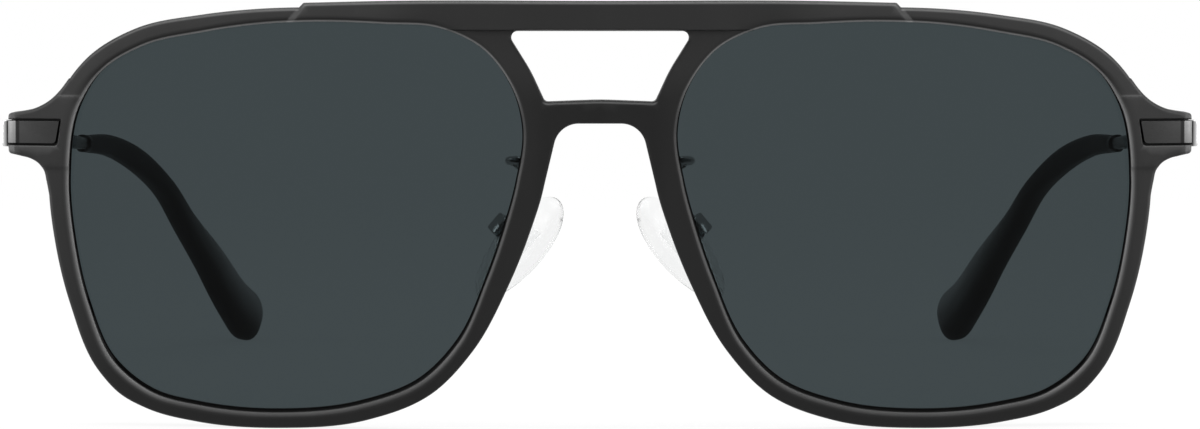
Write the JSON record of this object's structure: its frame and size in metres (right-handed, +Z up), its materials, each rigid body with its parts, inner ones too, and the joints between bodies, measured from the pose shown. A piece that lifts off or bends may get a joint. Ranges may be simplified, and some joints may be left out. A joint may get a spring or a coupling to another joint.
{
  "type": "sunglasses",
  "caption": "Aviator sunglasses with a straight brow bar over a lower bridge, tinted lenses, metal hinges and temples with soft tips, and clear rocking nose pads.",
  "frame": {"origin": "under the middle of the bounding box, on the surface that the rims' lowest points and the temple tips rest on", "axes": "+Z up; the face of the glasses looks along -Y and the temples run back along +Y; +X is the wearer's left"},
  "size_m": [0.148, 0.1466, 0.0519],
  "materials": {
    "front_black": "matte black",
    "lens_tint": "even green-grey tint, polished",
    "dark_metal": "dark satin",
    "screw_metal": "satin",
    "wire_metal": "satin",
    "tip_black": "smooth black",
    "pad_core_clear": "clear",
    "pad_clear": "clear and soft"
  },
  "bodies": {
    "front": {"front_frame": "front_black", "lens_left": "lens_tint", "lens_right": "lens_tint", "hinge_plate_left": "dark_metal", "hinge_plate_right": "dark_metal", "plate_screws_left": "screw_metal", "plate_screws_right": "screw_metal", "hinge_screw_left": "screw_metal", "hinge_screw_right": "screw_metal", "pad_arm_left": "wire_metal", "pad_arm_right": "wire_metal", "pad_screw_left": "screw_metal", "pad_screw_right": "screw_metal"},
    "temple_left": {"temple_left": "dark_metal", "temple_tip_left": "tip_black"},
    "temple_right": {"temple_right": "dark_metal", "temple_tip_right": "tip_black"},
    "pad_left": {"pad_core_left": "pad_core_clear", "nose_pad_left": "pad_clear"},
    "pad_right": {"pad_core_right": "pad_core_clear", "nose_pad_right": "pad_clear"}
  },
  "joints": [
    {"name": "temple_left_fold", "type": "hinge", "parent": "front", "child": "temple_left", "pos_m": [0.07005, -0.05498, 0.03575], "axis": [0, 0, 1], "range_deg": [0, 83]},
    {"name": "temple_right_fold", "type": "hinge", "parent": "front", "child": "temple_right", "pos_m": [-0.07005, -0.05498, 0.03575], "axis": [0, 0, -1], "range_deg": [0, 79]},
    {"name": "pad_left_rock", "type": "hinge", "parent": "front", "child": "pad_left", "pos_m": [0.01142, -0.06324, 0.02378], "axis": [0.4713, 0.7482, 0.467], "range_deg": [-10, 10]},
    {"name": "pad_right_rock", "type": "hinge", "parent": "front", "child": "pad_right", "pos_m": [-0.01142, -0.06324, 0.02378], "axis": [-0.4713, 0.7482, 0.467], "range_deg": [-10, 10]}
  ]
}
